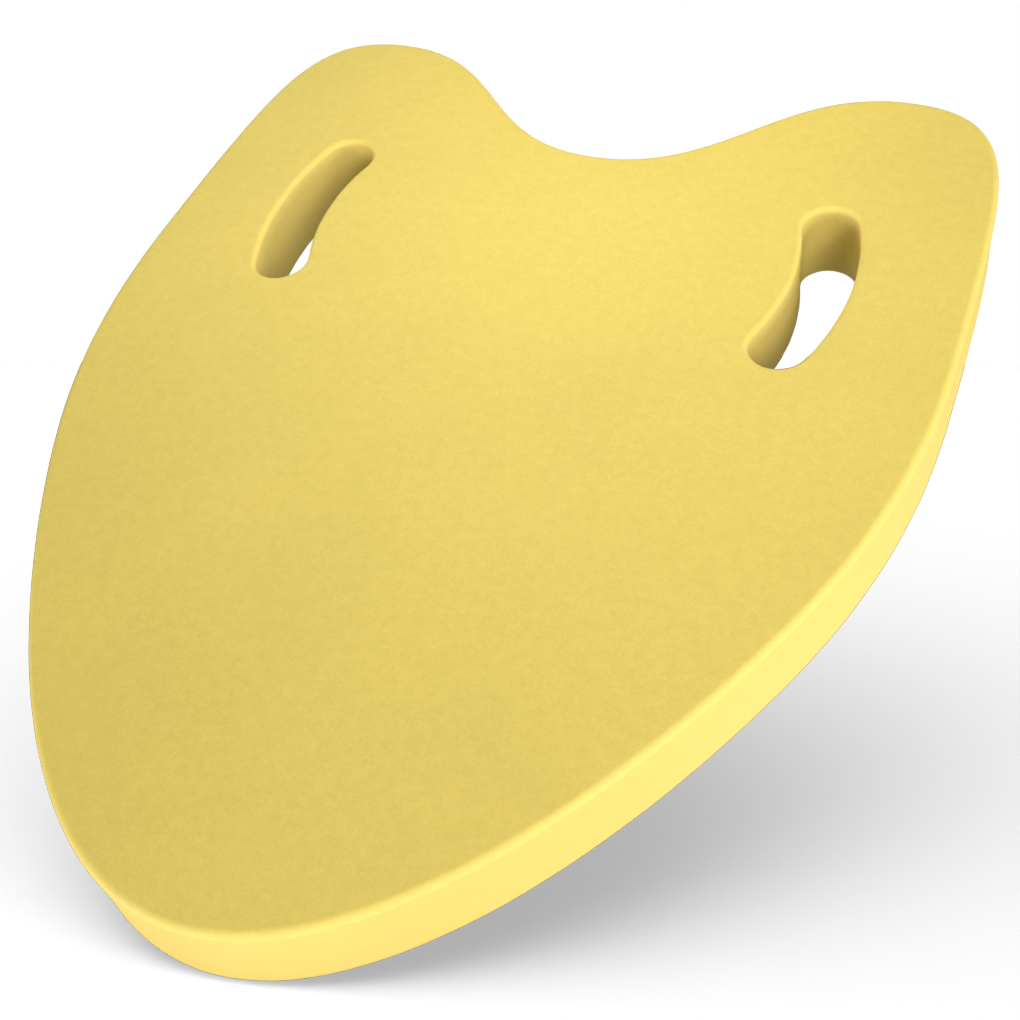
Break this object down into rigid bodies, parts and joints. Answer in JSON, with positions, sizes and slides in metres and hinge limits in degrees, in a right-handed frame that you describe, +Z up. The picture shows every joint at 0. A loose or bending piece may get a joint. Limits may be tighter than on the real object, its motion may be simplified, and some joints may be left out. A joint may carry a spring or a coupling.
{
  "type": "kickboard float",
  "caption": "Heart-shaped flat foam swimming board with a rounded nose, a concave chest notch and a curved hand slot in each lobe.",
  "frame": {"origin": "under the centre of the board's length and width, on its underside", "axes": "+X across the board, +Y along its middle from the nose to the two lobes, +Z up through its thickness"},
  "size_m": [0.3, 0.38, 0.03],
  "materials": {
    "core_foam": "smooth cut closed-cell foam, matte",
    "face_foam": "fine-grained closed-cell foam, matte"
  },
  "bodies": {
    "root": {"foam_core": "core_foam", "top_sheet": "face_foam", "bottom_sheet": "face_foam"}
  },
  "joints": []
}
